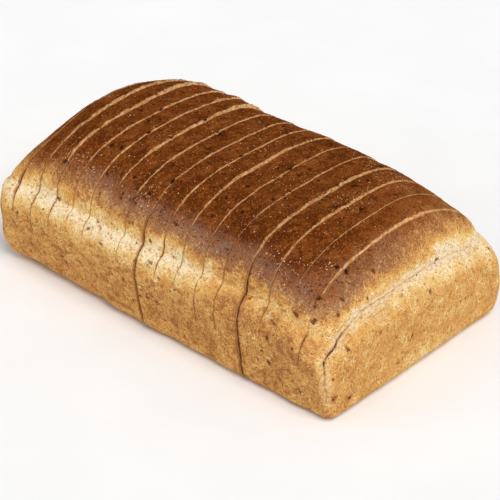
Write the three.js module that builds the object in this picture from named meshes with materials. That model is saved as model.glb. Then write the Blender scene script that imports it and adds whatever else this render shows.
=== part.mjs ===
// A sliced brown tin loaf that still keeps the whole loaf's shape: fifteen slices between two heels.
// The loaf lies along X, stands on its flat base at z = 0 and is as wide as its tin along Y.
// Its lower part took the shape of the tin. Above a crease, the crown rose free of it.
import * as THREE from "three";
import { mergeVertices } from "three/addons/utils/BufferGeometryUtils.js";

// Driving dimensions, in millimetres
const LENGTH = 231; // over both heels, without their bulge
const WIDTH = 140; // at the belly, the widest line of the tin side
const HEIGHT = 81; // base to the top of the crown
const CREASE_HEIGHT = 50.5; // where the crown leaves the tin side
const BELLY_DROP = 13; // belly below the crease
const LEDGE = 7.5; // belly to the foot of the crown along the sides, seen from above
const FOOT_RISE = 1.5; // height over which the crown's foot turns into the ledge
const FOOT_STEP = 0.4; // and how far it steps out on the way
const TIN_CORNER = 8; // radius of the tin's upright corners
const LEAST_CORNER = 5; // and the least that is left of it at the base
const END_BULGE = 1.6; // how far the end walls swell at their middle
const KERF = 0.55; // gap that the saw left between two pieces
const EDGE = 0.7; // torn edge of a slice: its width along the loaf
const EDGE_DROP = 0.4; // and its depth into the crust

// The two ends differ. At each end:
// ledge: belly to the foot of the crown; corner: radius of the crown's corners, seen from above
// droop: length over which the crown comes down
// slowFall: how much of that comes slowly; round: power of the last, quick part
// sideRound, endRound: radius of the edge between wall and base
// frontLean, backLean, endLean: how far the walls lean in to the base
// frontDip, backDip: how far the crease dips at the front and back corners
const NEAR = {
  ledge: 7, corner: 15, droop: 43, slowFall: 0.25, round: 1.4,
  sideRound: 7, endRound: 7, frontLean: 4.2, backLean: 0.8, endLean: 1.2, frontDip: 11, backDip: 8,
};
const FAR = {
  ledge: 2.5, corner: 9, droop: 35, slowFall: 0.24, round: 2.8,
  sideRound: 14, endRound: 8, frontLean: 6, backLean: 3, endLean: 1.5, frontDip: 1, backDip: 4,
};
const DIP_SPREAD = 17; // how far a dip of the crease spreads
const CREASE_WAVE = 0.8; // how far the crease rises and falls with the dough's unevenness
const CROWN_WAVE = 0.7; // and the crown
const MIDWALL_LEAN = 0.4; // share of the lean that is left halfway up the wall

// Each piece in the row, from the far heel to the near heel: its thickness with its kerf, how far it
// sits to one side, and how far its crown stands up at its near edge
const PIECES = [
  { thickness: 12.5, shift: 0.9, lip: 0.4 },
  { thickness: 13.7, shift: 1.2, lip: 1.6 },
  { thickness: 13.1, shift: 0.6, lip: 1.5 },
  { thickness: 12.5, shift: 1.0, lip: 1.1 },
  { thickness: 12.0, shift: 0.5, lip: 0.9 },
  { thickness: 13.0, shift: 0.9, lip: 1.5 },
  { thickness: 13.1, shift: -0.6, lip: 0.8 },
  { thickness: 13.3, shift: -0.2, lip: 0.4 },
  { thickness: 13.4, shift: -0.8, lip: 0.9 },
  { thickness: 12.9, shift: 0.1, lip: 1.2 },
  { thickness: 13.9, shift: -0.4, lip: 0.4 },
  { thickness: 14.0, shift: 0.2, lip: 0.7 },
  { thickness: 14.8, shift: -0.5, lip: 1.2 },
  { thickness: 14.4, shift: -0.2, lip: 0.9 },
  { thickness: 12.8, shift: 0.3, lip: 0.3 },
  { thickness: 12.6, shift: -0.3, lip: 1.0 },
  { thickness: 19.0, shift: 0.0, lip: 0.0 },
];
const LIP_SPREAD = 10; // how far a heel's lip spreads from its cut
const LIP_AT_MIDDLE = 0.3; // share of a slice's lip that its middle has

// Powers of the crown's section, which is fuller along the middle of the loaf than at its ends
const MIDDLE_SECTION = { across: 3, up: 2.2 };
const END_SECTION = { across: 2, up: 1.8 };
const END_SECTION_FROM = 0.7; // share of the droop from which the end's section holds
// Powers of the curve by which the crown comes down to an end: of its slow part and of its quick part
const END_CURVE = { slow: 1.5, quick: 7 };

// Where the loaf is fuller than its smooth form, or less full: place, reach along each axis and height
const SWELLINGS = [
  { at: [105, 64, 45], reach: [10, 10, 8], height: 3 },
  { at: [100, 60, 54], reach: [8, 10, 8], height: 1.5 },
  { at: [113, 66, 20], reach: [10, 12, 13], height: 1.8 },
  { at: [76, 47, 71], reach: [16, 14, 10], height: -1.4 },
  { at: [12, 51, 72], reach: [24, 13, 10], height: 1.4 },
  { at: [-54, 55, 70], reach: [9, 13, 10], height: 1.4 },
  { at: [-101, -36, 71], reach: [13, 20, 11], height: -3 },
  { at: [-110, -63, 50], reach: [8, 9, 6], height: 3 },
  { at: [-112, -68, 35], reach: [10, 10, 10], height: 1.2 },
  { at: [-113, -64, 14], reach: [12, 12, 11], height: 2.8 },
];
// They point away from a flat core inside the loaf: its half length, half width and height
const CORE = { length: 70, width: 30, height: 30 };
const SWELL_FROM = 4; // height over which they fade in from the flat base

// Steps of the meshes
const CROWN_STEPS = 24;
const HEEL_COLUMNS = 38;
const HEEL_CROWN_STEPS = 8;
const HEEL_CROWN_CROWDING = 1.7; // crowds those steps towards the crown's foot
const CORNER_STEPS = 8;

const halfLength = LENGTH / 2;
const halfWidth = WIDTH / 2;
const crownHalfWidth = halfWidth - LEDGE;
const quarter = Math.PI / 2;

const endAt = (x) => (x > 0 ? NEAR : FAR);
const crownHalfLength = (x) => halfLength - endAt(x).ledge;
const mix = (a, b, t) => a + (b - a) * t;

// Low, wide unevenness of the risen dough, between -1 and 1
function unevenness(x, y) {
  return (
    0.45 * Math.sin(x / 17 + 0.8) * Math.cos(y / 29 - 0.4) +
    0.35 * Math.sin(x / 9.5 - y / 21) +
    0.2 * Math.cos(x / 31 + y / 12 + 1.9)
  );
}

// Height of the crease by the point of the plan beside it
function creaseHeight(x, y) {
  const dip = y > 0 ? endAt(x).backDip : endAt(x).frontDip;
  const reach = (halfLength - Math.abs(x)) ** 2 + (halfWidth - Math.abs(y)) ** 2;
  return CREASE_HEIGHT - dip * Math.exp(-reach / (2 * DIP_SPREAD ** 2)) + CREASE_WAVE * unevenness(x, y);
}

// Half the width of a rounded rectangle at x, with its corners' radius
function roundedHalfWidth(x, length, width, radius) {
  const past = Math.min(radius, Math.max(0, Math.abs(x) - (length - radius)));
  return width - radius + Math.sqrt(radius ** 2 - past ** 2);
}

const crownFoot = (x) => roundedHalfWidth(x, crownHalfLength(x), crownHalfWidth, endAt(x).corner);

// Height of the crown: a section across the loaf, times the curve by which it comes down to an end
function crownHeight(x, y) {
  const { droop, slowFall, round } = endAt(x);
  const past = Math.min(1, Math.max(0, Math.abs(x) - (crownHalfLength(x) - droop)) / droop);
  const toEnd = Math.min(1, past / END_SECTION_FROM);
  const across = mix(MIDDLE_SECTION.across, END_SECTION.across, toEnd);
  const up = mix(MIDDLE_SECTION.up, END_SECTION.up, toEnd);
  const side = Math.min(1, Math.abs(y) / crownFoot(x));
  const section = (1 - side ** across) ** (1 / up);
  const slow = 1 - slowFall * past ** END_CURVE.slow;
  const quick = (1 - past ** END_CURVE.quick) ** (1 / round);
  const foot = creaseHeight(x, y) + FOOT_RISE;
  return foot + (HEIGHT - foot + CROWN_WAVE * unevenness(x, y)) * section * slow * quick;
}

// How far a value has gone from the near end's to the far end's at x
const towardsFar = (x) => (0.5 - x / LENGTH) ** 2;
const sideRound = (x) => mix(NEAR.sideRound, FAR.sideRound, towardsFar(x));
const frontLean = (x) => mix(NEAR.frontLean, FAR.frontLean, towardsFar(x));
const backLean = (x) => mix(NEAR.backLean, FAR.backLean, towardsFar(x));

// Quarter turns at which the round edge of the base and the shoulder below the crease have a point
const BASE_TURNS = [0, 0.4, 0.75, 1];
const SHOULDER_TURNS = [0, 0.3, 0.55, 0.75];

// Heights of the wall's levels, from the base up to the crease
function levelHeights(round, crease) {
  const belly = crease - BELLY_DROP;
  return [
    ...BASE_TURNS.map((turn) => round * (1 - Math.cos(turn * quarter))),
    mix(round, belly, 0.5),
    ...SHOULDER_TURNS.map((turn) => belly + BELLY_DROP * Math.sin(turn * quarter)),
  ];
}

// How far each of those levels lies in from the belly
function levelInsets(round, lean, ledge) {
  return [
    ...BASE_TURNS.map((turn) => lean + round * (1 - Math.sin(turn * quarter))),
    lean * MIDWALL_LEAN,
    ...SHOULDER_TURNS.map((turn) => ledge * (1 - Math.cos(turn * quarter))),
  ];
}

// The wall's outline at each level, seen from above, for a section at x or a heel beyond it
function levelOutlines(x) {
  const { endRound, endLean, ledge } = endAt(x);
  const frontInsets = levelInsets(sideRound(x), frontLean(x), LEDGE);
  const backInsets = levelInsets(sideRound(x), backLean(x), LEDGE);
  return levelInsets(endRound, endLean, ledge).map((inset, k) => ({
    length: halfLength - inset,
    front: halfWidth - frontInsets[k],
    back: halfWidth - backInsets[k],
    radius: Math.max(LEAST_CORNER, TIN_CORNER - frontInsets[k]),
  }));
}

// One side of the loaf in section at x, from the base up to the crown's foot
function sideOutline(x, side) {
  const crease = creaseHeight(x, side * halfWidth);
  const heights = levelHeights(sideRound(x), crease);
  const points = levelOutlines(x).map(({ length, front, back, radius }, k) => {
    return [side * roundedHalfWidth(x, length, side > 0 ? back : front, radius), heights[k]];
  });
  const foot = crownFoot(x);
  points.push([side * (foot + FOOT_STEP), crease]);
  points.push([side * foot, crease + FOOT_RISE]);
  return points;
}

// The whole section at x, counter-clockwise seen from the near end
function section(x) {
  const right = sideOutline(x, 1);
  const left = sideOutline(x, -1).reverse();
  const foot = crownFoot(x);
  const crown = [];
  for (let i = 1; i < CROWN_STEPS; i++) {
    const y = foot * Math.cos((Math.PI * i) / CROWN_STEPS);
    crown.push([y, crownHeight(x, y)]);
  }
  return [...right, ...crown, ...left];
}

// Moves a point by the swellings, by a share of that along the loaf, so that a cut stays flat
function swell(p, shareAlong) {
  const height = SWELLINGS.reduce((sum, { at, reach, height }) => {
    const away = [p.x, p.y, p.z].map((value, k) => ((value - at[k]) / reach[k]) ** 2);
    return sum + height * Math.exp(-away[0] - away[1] - away[2]);
  }, 0);
  const x = Math.max(-CORE.length, Math.min(CORE.length, p.x));
  const y = Math.max(-CORE.width, Math.min(CORE.width, p.y));
  const out = new THREE.Vector3(p.x - x, p.y - y, p.z - CORE.height).normalize();
  out.x *= shareAlong;
  return p.addScaledVector(out, height * Math.min(1, p.z / SWELL_FROM));
}

// Share of a lip that the crust has at a height: none below the crease, all of it on top
function lipShare(z) {
  return Math.sqrt(Math.max(0, (z - CREASE_HEIGHT) / (HEIGHT - CREASE_HEIGHT)));
}

// A section as it is in one slice: shifted, drawn in at its torn edge and lifted along the crown
function sliceRing(x, shift, drop, lift) {
  const middle = CREASE_HEIGHT / 2;
  return section(x).map(([y, z]) => {
    const share = 1 - drop / Math.hypot(y, z - middle);
    const height = z <= 0 ? 0 : middle + (z - middle) * share + lift * lipShare(z);
    const point = swell(new THREE.Vector3(x, y * share, Math.max(0, height)), 0);
    point.y += shift;
    return point;
  });
}

// A closed mesh from points and triangles, with the points that coincide merged
function closedGeometry(points, triangles) {
  const position = new THREE.Float32BufferAttribute(points.flatMap((p) => [p.x, p.y, p.z]), 3);
  const raw = new THREE.BufferGeometry().setAttribute("position", position).setIndex(triangles);
  const merged = mergeVertices(raw, 1e-3);
  const index = [];
  for (let i = 0; i < merged.index.count; i += 3) {
    const corner = [0, 1, 2].map((k) => merged.index.getX(i + k));
    if (new Set(corner).size === 3) index.push(...corner);
  }
  merged.setIndex(index);
  merged.computeVertexNormals();
  return merged;
}

// Triangles of a fan over a closed loop of points, which must go counter-clockwise seen from outside
function fan(points, triangles, loop, centre) {
  const hub = points.push(centre) - 1;
  loop.forEach((a, i) => triangles.push(hub, a, loop[(i + 1) % loop.length]));
}

// A slice between two cuts
function sliceGeometry(start, end, shift, lip) {
  const rings = [
    sliceRing(start, shift, EDGE_DROP, 0),
    sliceRing(start + EDGE, shift, 0, 0),
    sliceRing((start + end) / 2, shift, 0, LIP_AT_MIDDLE * lip),
    sliceRing(end - EDGE, shift, 0, lip),
    sliceRing(end, shift, EDGE_DROP, lip),
  ];
  const count = rings[0].length;
  const points = rings.flat();
  const triangles = [];
  for (let r = 0; r + 1 < rings.length; r++) {
    for (let i = 0; i < count; i++) {
      const j = (i + 1) % count;
      const a = r * count + i;
      const b = r * count + j;
      triangles.push(a, b, b + count, a, b + count, a + count);
    }
  }
  const loop = [...Array(count).keys()];
  const last = (rings.length - 1) * count;
  fan(points, triangles, [...loop].reverse(), new THREE.Vector3(start, shift, CREASE_HEIGHT / 2));
  fan(points, triangles, loop.map((i) => last + i), new THREE.Vector3(end, shift, CREASE_HEIGHT / 2));
  return closedGeometry(points, triangles);
}

// Points spread evenly along a path in the plan
function spread(path, count) {
  const lengths = [0];
  for (let i = 1; i < path.length; i++) {
    lengths.push(lengths[i - 1] + path[i].p.distanceTo(path[i - 1].p));
  }
  const total = lengths[lengths.length - 1];
  const result = [];
  let k = 1;
  for (let i = 0; i <= count; i++) {
    const wanted = (total * i) / count;
    while (k < path.length - 1 && lengths[k] < wanted) k++;
    const t = (wanted - lengths[k - 1]) / (lengths[k] - lengths[k - 1]);
    result.push({
      p: path[k - 1].p.clone().lerp(path[k].p, t),
      n: path[k - 1].n.clone().lerp(path[k].n, t).normalize(),
    });
  }
  return result;
}

// A rounded outline from the cut at the back, round the end and back to the cut, with its normals
function rail(cut, way, { length, front, back, radius }) {
  const atCut = (width) => roundedHalfWidth(cut, length, width, radius);
  const path = [{ p: new THREE.Vector2(cut, atCut(back)), n: new THREE.Vector2(0, 1) }];
  for (const side of [1, -1]) {
    const width = side > 0 ? back : front;
    const centre = new THREE.Vector2(way * (length - radius), side * (width - radius));
    for (let i = 0; i <= CORNER_STEPS; i++) {
      const angle = (side > 0 ? CORNER_STEPS - i : i) * (quarter / CORNER_STEPS);
      const n = new THREE.Vector2(way * Math.cos(angle), side * Math.sin(angle));
      // Where the cut lies within the corner, the outline starts from the cut
      const p = centre.clone().addScaledVector(n, radius);
      if (way * (p.x - cut) >= 0) path.push({ p, n });
    }
  }
  path.push({ p: new THREE.Vector2(cut, -atCut(front)), n: new THREE.Vector2(0, -1) });
  return spread(path, HEEL_COLUMNS);
}

// A heel beyond a cut: its levels run round the end, and the crown goes from its foot to the cut
function heelGeometry(cut, way, shift, lip) {
  const end = way > 0 ? NEAR : FAR;
  const belly = rail(cut, way, {
    length: halfLength, front: halfWidth, back: halfWidth, radius: TIN_CORNER,
  });
  const foot = rail(cut, way, {
    length: halfLength - end.ledge, front: crownHalfWidth, back: crownHalfWidth, radius: end.corner,
  });
  const creases = belly.map(({ p }) => creaseHeight(p.x, p.y));
  const levels = levelOutlines(cut).map((outline, k) => {
    return rail(cut, way, outline).map(({ p, n }, i) => {
      const facesEnd = n.x ** 2;
      const z = levelHeights(mix(sideRound(cut), end.endRound, facesEnd), creases[i])[k];
      const bulge = END_BULGE * facesEnd * (1 - (p.y / halfWidth) ** 2) * Math.min(1, z / end.endRound);
      return new THREE.Vector3(p.x + way * bulge, p.y, z);
    });
  });
  levels.push(foot.map(({ p, n }, i) => new THREE.Vector3(p.x, p.y + FOOT_STEP * n.y, creases[i])));
  levels.push(foot.map(({ p }, i) => new THREE.Vector3(p.x, p.y, creases[i] + FOOT_RISE)));
  for (let j = 1; j <= HEEL_CROWN_STEPS; j++) {
    const level = foot.map(({ p }, i) => {
      const target = new THREE.Vector2(cut, crownFoot(cut) * Math.cos((Math.PI * i) / HEEL_COLUMNS));
      const q = p.clone().lerp(target, (j / HEEL_CROWN_STEPS) ** HEEL_CROWN_CROWDING);
      return new THREE.Vector3(q.x, q.y, crownHeight(q.x, q.y));
    });
    levels.push(level);
  }
  // The column on each side lies in the cut
  for (const level of levels) {
    level[0].x = cut;
    level[HEEL_COLUMNS].x = cut;
  }
  const width = HEEL_COLUMNS + 1;
  const points = levels.flat();
  for (const p of points) {
    const nearCut = Math.max(0, 1 - Math.abs(p.x - cut) / LIP_SPREAD);
    swell(p, 1 - nearCut);
    p.y += shift;
    p.z += lip * nearCut * lipShare(p.z);
  }
  const triangles = [];
  for (let j = 0; j + 1 < levels.length; j++) {
    for (let i = 0; i < HEEL_COLUMNS; i++) {
      const a = j * width + i;
      triangles.push(a, a + width + 1, a + 1, a, a + width, a + width + 1);
    }
  }
  const base = [...Array(width).keys()];
  fan(points, triangles, base, new THREE.Vector3(cut + way, shift, 0));
  const top = (levels.length - 1) * width;
  const up = levels.map((_, j) => j * width);
  const face = [...up.slice().reverse(), ...up.map((i) => i + HEEL_COLUMNS)];
  const crest = base.slice(1, HEEL_COLUMNS).map((i) => top + i).reverse();
  fan(points, triangles, [...face, ...crest], new THREE.Vector3(cut, shift, CREASE_HEIGHT / 2));
  // At the far end the outlines run the other way round, so the triangles are turned over
  if (way < 0) triangles.reverse();
  return closedGeometry(points, triangles);
}

// Crust of the slices, dark on the crown
function sliceCrust() {
  return new THREE.MeshStandardMaterial({ color: 0x9a5a26, roughness: 0.55, metalness: 0 });
}

// Paler crust of the heels
function heelCrust() {
  return new THREE.MeshStandardMaterial({ color: 0xc8904a, roughness: 0.6, metalness: 0 });
}

function buildLoaf() {
  const loaf = new THREE.Group();
  let start = -halfLength;
  PIECES.forEach(({ thickness, shift, lip }, i) => {
    const from = start + KERF / 2;
    const to = start + thickness - KERF / 2;
    start += thickness;
    const mesh = new THREE.Mesh();
    if (i === 0) {
      mesh.name = "heel_far";
      mesh.geometry = heelGeometry(to, -1, shift, lip);
    } else if (i === PIECES.length - 1) {
      mesh.name = "heel_near";
      mesh.geometry = heelGeometry(from, 1, shift, lip);
    } else {
      mesh.name = "slice_" + String(i).padStart(2, "0");
      mesh.geometry = sliceGeometry(from, to, shift, lip);
    }
    mesh.material = mesh.name.startsWith("heel") ? heelCrust() : sliceCrust();
    loaf.add(mesh);
  });
  // The origin is at the middle of the base of the loaf's box
  const box = new THREE.Box3().setFromObject(loaf);
  const centre = box.getCenter(new THREE.Vector3());
  loaf.position.set(-centre.x, -centre.y, -box.min.z);
  return loaf;
}

export default buildLoaf();
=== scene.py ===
# Looks of a sliced brown tin loaf: the crust of its slices and heels with their pits and cracks, the
# crumb in the cuts, and the bran and crumbs that lie on it. The form is the part's own, with more
# points. All lengths are in millimetres until a mesh is made.
import math

import bpy
import numpy as np
from mathutils import Matrix, Vector


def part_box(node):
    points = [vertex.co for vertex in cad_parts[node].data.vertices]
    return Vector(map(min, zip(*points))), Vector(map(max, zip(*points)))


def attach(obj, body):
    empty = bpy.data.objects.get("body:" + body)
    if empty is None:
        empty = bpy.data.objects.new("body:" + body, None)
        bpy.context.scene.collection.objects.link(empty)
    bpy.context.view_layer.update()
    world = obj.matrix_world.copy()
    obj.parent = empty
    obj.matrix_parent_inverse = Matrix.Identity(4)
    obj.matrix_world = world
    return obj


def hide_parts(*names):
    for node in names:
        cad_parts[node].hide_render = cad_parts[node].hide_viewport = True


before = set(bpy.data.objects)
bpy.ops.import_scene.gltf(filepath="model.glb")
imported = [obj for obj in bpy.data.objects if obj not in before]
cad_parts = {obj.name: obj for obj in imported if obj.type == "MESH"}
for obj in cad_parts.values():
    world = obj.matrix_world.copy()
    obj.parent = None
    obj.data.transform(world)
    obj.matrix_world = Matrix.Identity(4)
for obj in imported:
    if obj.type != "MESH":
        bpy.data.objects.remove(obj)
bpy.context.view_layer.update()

LENGTH = 231
WIDTH = 140
HEIGHT = 81
CREASE_HEIGHT = 50.5
BELLY_DROP = 13
LEDGE = 7.5
FOOT_RISE = 1.5
TIN_CORNER = 8
LEAST_CORNER = 5
END_BULGE = 1.6
KERF = 0.55
DIP_SPREAD = 17
CREASE_WAVE = 0.8
CROWN_WAVE = 0.7
HALF_LENGTH = LENGTH / 2
HALF_WIDTH = WIDTH / 2
CROWN_HALF_WIDTH = HALF_WIDTH - LEDGE
QUARTER = math.pi / 2

# The two ends, as in the part: (near, far)
ENDS = {
    "ledge": (7, 2.5), "corner": (15, 9), "droop": (43, 35), "slow_fall": (0.25, 0.24),
    "round": (1.4, 2.8), "side_round": (7, 14), "end_round": (7, 8), "front_lean": (4.2, 6),
    "back_lean": (0.8, 3), "end_lean": (1.2, 1.5), "front_dip": (11, 1), "back_dip": (8, 4),
}

# Swellings of the loaf, as in the part: place, reach along each axis and height
SWELLINGS = [
    ([105, 64, 45], [10, 10, 8], 3), ([100, 60, 54], [8, 10, 8], 1.5), ([113, 66, 20], [10, 12, 13], 1.8),
    ([76, 47, 71], [16, 14, 10], -1.4), ([12, 51, 72], [24, 13, 10], 1.4), ([-54, 55, 70], [9, 13, 10], 1.4),
    ([-101, -36, 71], [13, 20, 11], -3), ([-110, -63, 50], [8, 9, 6], 3),
    ([-112, -68, 35], [10, 10, 10], 1.2), ([-113, -64, 14], [12, 12, 11], 2.8),
]
CORE = np.array([70, 30, 30])

# Steps of the meshes
BASE_STEPS = 36
ROUND_STEPS = 12
WALL_STEPS = 44
SHOULDER_STEPS = 34
FOOT_STEPS = 4
CROWN_STEPS = 272
HEEL_COLUMNS = 320
HEEL_CROWN_STEPS = 46
HEEL_CROWN_CROWDING = 1.7
STATION = 0.55
CREASE_SMOOTHING = 44
CROWN_SAMPLES = 700
CORNER_STEPS = 24
# Stations beside a cut, how far its drawn-in edge reaches, and how far its step to the side and, on a
# heel, its gap reach
NEAR_CUT = np.array([0, 0.15, 0.4])
EDGE = 0.8
STEP_REACH = 5
GAP_REACH = 8
# How brown the middle of a heel's base is
BASE_TONE = 0.3

# The camera, fitted to the photo: its angles, its distance, its focal length in pixels of a picture of
# 500, and how far the loaf lies below the middle, in pixels, and along the loaf
AZIMUTH = 41.75
ELEVATION = 32.22
DISTANCE = 1298
FOCAL = 2454
PICTURE = 500
BASE_BELOW = 38.9
AIM_ALONG = 3.25
SENSOR = 36
# The softboxes: name, direction, angle across, strength
SOFTBOXES = [("key", (0.55, -0.22, 0.81), 35, 2.2), ("fill", (-0.42, -0.76, 0.5), 50, 0.35)]

NODES = ["heel_far"] + [f"slice_{i:02d}" for i in range(1, 16)] + ["heel_near"]
# How far each piece's crown stands up at its near edge, and by what share of that at the back
LIPS = [0.5, 1.2, 1.2, 0.7, 0.7, 1.1, 0.6, 0.5, 0.6, 1.0, 0.4, 0.4, 1.0, 0.8, 0.2, 0.9, 0.0]
BACK_LIPS = [1.8, 1.6, 1.5, 1.5, 1.5, 1.6, 1.2, 0.6, 0.6, 0.6, 0.6, 0.6, 0.6, 0.5, 0.5, 0.4, 0.0]
LIP_SPREAD = 10
LIP_AT_MIDDLE = 0.3

# How wide each cut stands open: on the crown, round the shoulder and on the wall, and the height on
# the wall at which it closes
CLOSED = 0.02
CUTS = [
    (0.1, 0.65, 0.22, 36), (0.3, 0.4, 0.34, 29), (0.12, 0.22, 0.18, 36), (0.1, 0.26, 0.15, 40),
    (0.1, 0.2, 0.24, 41), (0.15, 0.14, 0.12, 45), (0.1, 0.18, 0.12, 42), (0.2, 1.15, 1.15, -9),
    (0.1, 0.2, 0.14, 40), (0.15, 0.32, 0.18, 36), (0.1, 0.18, 0.2, 24), (0.1, 0.3, 0.28, 26),
    (0.25, 0.95, 1.15, -9), (0.15, 0.2, 0.12, 34), (0.06, 0.06, 0.12, 24), (0.18, 0.18, 0.34, 31),
]


# Large odd numbers that scatter the bits of a hash
ODD = np.array([374761393, 668265263, 2246822519, 3266489917], np.uint32)


def hashed(cell, seed):
    """A value between 0 and 1 for each cell of a grid."""
    i, j, k = (cell[..., n].astype(np.int64).astype(np.uint32) for n in range(3))
    h = (i * ODD[0] ^ j * ODD[1] ^ k * ODD[2]) + np.uint32(seed * 7919 + 1)
    h = (h ^ (h >> np.uint32(15))) * ODD[2]
    h = (h ^ (h >> np.uint32(13))) * ODD[3]
    return (h ^ (h >> np.uint32(16))) / 2.0**32


def noise(p, size, seed):
    """Smooth noise between -1 and 1, whose features have a size, which may differ by axis."""
    q = p / np.asarray(size, float)
    cell = np.floor(q)
    f = q - cell
    f = f * f * (3 - 2 * f)
    total = 0
    for corner in np.ndindex(2, 2, 2):
        weight = np.prod(np.where(np.array(corner) == 1, f, 1 - f), axis=-1)
        total = total + weight * hashed(cell + corner, seed)
    return 2 * total - 1


def mix(a, b, t):
    return a + (b - a) * t


def smooth(low, high, value):
    """0 below low, 1 above high and smooth between."""
    t = np.clip((value - low) / (high - low), 0, 1)
    return t * t * (3 - 2 * t)


def end_value(name, x):
    near, far = ENDS[name]
    return np.where(np.asarray(x) > 0, near, far)


def along(name, x):
    """A value that goes from the near end's to the far end's."""
    near, far = ENDS[name]
    return mix(near, far, (0.5 - np.asarray(x) / LENGTH) ** 2)


def unevenness(x, y):
    return (0.45 * np.sin(x / 17 + 0.8) * np.cos(y / 29 - 0.4)
            + 0.35 * np.sin(x / 9.5 - y / 21) + 0.2 * np.cos(x / 31 + y / 12 + 1.9))


def crease_height(x, y):
    dip = np.where(y > 0, end_value("back_dip", x), end_value("front_dip", x))
    reach = (HALF_LENGTH - np.abs(x)) ** 2 + (HALF_WIDTH - np.abs(y)) ** 2
    return CREASE_HEIGHT - dip * np.exp(-reach / (2 * DIP_SPREAD**2)) + CREASE_WAVE * unevenness(x, y)


def rounded_half_width(x, length, width, radius):
    past = np.minimum(radius, np.maximum(0, np.abs(x) - (length - radius)))
    return width - radius + np.sqrt(radius**2 - past**2)


def crown_foot(x):
    length = HALF_LENGTH - end_value("ledge", x)
    return rounded_half_width(x, length, CROWN_HALF_WIDTH, end_value("corner", x))


def crown_height(x, y):
    droop = end_value("droop", x)
    length = HALF_LENGTH - end_value("ledge", x)
    past = np.clip((np.abs(x) - (length - droop)) / droop, 0, 1)
    to_end = np.minimum(1, past / 0.7)
    side = np.minimum(1, np.abs(y) / crown_foot(x))
    section = (1 - side ** mix(3, 2, to_end)) ** (1 / mix(2.2, 1.8, to_end))
    slow = 1 - end_value("slow_fall", x) * past**1.5
    quick = (1 - past**7) ** (1 / end_value("round", x))
    foot = crease_height(x, y) + FOOT_RISE
    return foot + (HEIGHT - foot + CROWN_WAVE * unevenness(x, y)) * section * slow * quick


# The wall's levels: quarter turns round the base's edge, the wall, quarter turns round the shoulder,
# and the foot of the crown
TURN = np.linspace(0, QUARTER, ROUND_STEPS + 1)
RISE = np.linspace(0, 1, WALL_STEPS + 1)[1:]
BEND = np.linspace(0, QUARTER, SHOULDER_STEPS + 1)[1:]
FOOT = np.linspace(0, 1, FOOT_STEPS + 1)[1:]
# How far each level has gone from the belly's outline to the crown foot's
TO_FOOT = np.concatenate([0 * TURN, 0 * RISE, 1 - np.cos(BEND), 1 + 0 * FOOT])


def level_heights(edge, crease):
    """Heights of the wall's levels, for a row of places."""
    edge = np.broadcast_to(np.asarray(edge, float), crease.shape)[..., None]
    crease = crease[..., None]
    belly = crease - BELLY_DROP
    return np.concatenate([
        edge * (1 - np.cos(TURN)), edge + (belly - edge) * RISE,
        belly + BELLY_DROP * np.sin(BEND), crease + FOOT_RISE * FOOT,
    ], axis=-1)


def level_insets(edge, lean):
    """How far each of them lies in from the belly's outline."""
    edge = np.asarray(edge, float)[..., None]
    lean = np.asarray(lean, float)[..., None]
    rest = np.zeros(lean.shape[:-1] + (len(BEND) + len(FOOT),))
    return np.concatenate([
        lean + edge * (1 - np.sin(TURN)), lean * (1 - RISE) ** 1.32, rest,
    ], axis=-1)


def side_levels(x, side):
    """One side of the section at each x: an array of y and z."""
    z = level_heights(along("side_round", x), crease_height(x, side * HALF_WIDTH))
    lean = along("back_lean" if side > 0 else "front_lean", x)
    y = HALF_WIDTH - level_insets(along("side_round", x), lean)
    y = mix(y, crown_foot(x)[:, None], TO_FOOT)
    return np.stack([side * y, z], axis=-1)


def crown_levels(x, steps):
    """The crown at each x from the back to the front, in steps of the same length."""
    turn = np.linspace(0, math.pi, CROWN_SAMPLES)
    rows = []
    for value in x:
        y = crown_foot(value) * np.cos(turn)
        z = crown_height(value, y)
        run = np.concatenate([[0], np.cumsum(np.hypot(np.diff(y), np.diff(z)))])
        wanted = np.linspace(0, run[-1], steps + 1)
        rows.append(np.stack([np.interp(wanted, run, y), np.interp(wanted, run, z)], axis=-1))
    return np.array(rows)


def sections(x):
    """Closed sections at each x, counter-clockwise seen from the near end."""
    back = side_levels(x, 1)
    front = side_levels(x, -1)[:, ::-1]
    crown = crown_levels(x, CROWN_STEPS)[:, 1:-1]
    t = np.linspace(0, 1, BASE_STEPS + 1)[1:-1, None]
    base = mix(front[:, -1:], back[:, :1], t)
    return np.concatenate([back, crown, front, base], axis=1)


def smoothed(points, axis, weight):
    """Points drawn towards the middle of their neighbours along an axis, where the weight is above 0."""
    for _ in range(CREASE_SMOOTHING):
        before = np.roll(points, 1, axis)
        after = np.roll(points, -1, axis)
        points = points + weight[..., None] * ((before + after) / 2 - points) / 2
    return points


def crease_weight(y, z):
    """1 at the crease and 0 away from it, and on the base."""
    height = 1 - smooth(3, 8, np.abs(z - CREASE_HEIGHT - 1))
    return height * smooth(30, 50, np.abs(y) + 0 * z)


def lip_share(index, y, z):
    """A piece's lip fades out down the front shoulder, and has its own height at the back."""
    up = np.sqrt(np.maximum(0, (z - CREASE_HEIGHT) / (HEIGHT - CREASE_HEIGHT)))
    return up * smooth(-60, -44, y) * mix(1, BACK_LIPS[index], smooth(10, 45, y))


def cut_place(cut, spread, y, z):
    """Places for the noise along a cut, so far apart that each cut has its own."""
    return np.stack([0 * y + spread * cut, y, z], axis=-1)


def lip_noise(y, cut):
    place = cut_place(cut, 31.7, y, 0 * y)
    return 1 + 0.4 * noise(place, 13, 40) + 0.3 * noise(place, 4, 41) + 0.15 * noise(place, 1.2, 42)


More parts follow.
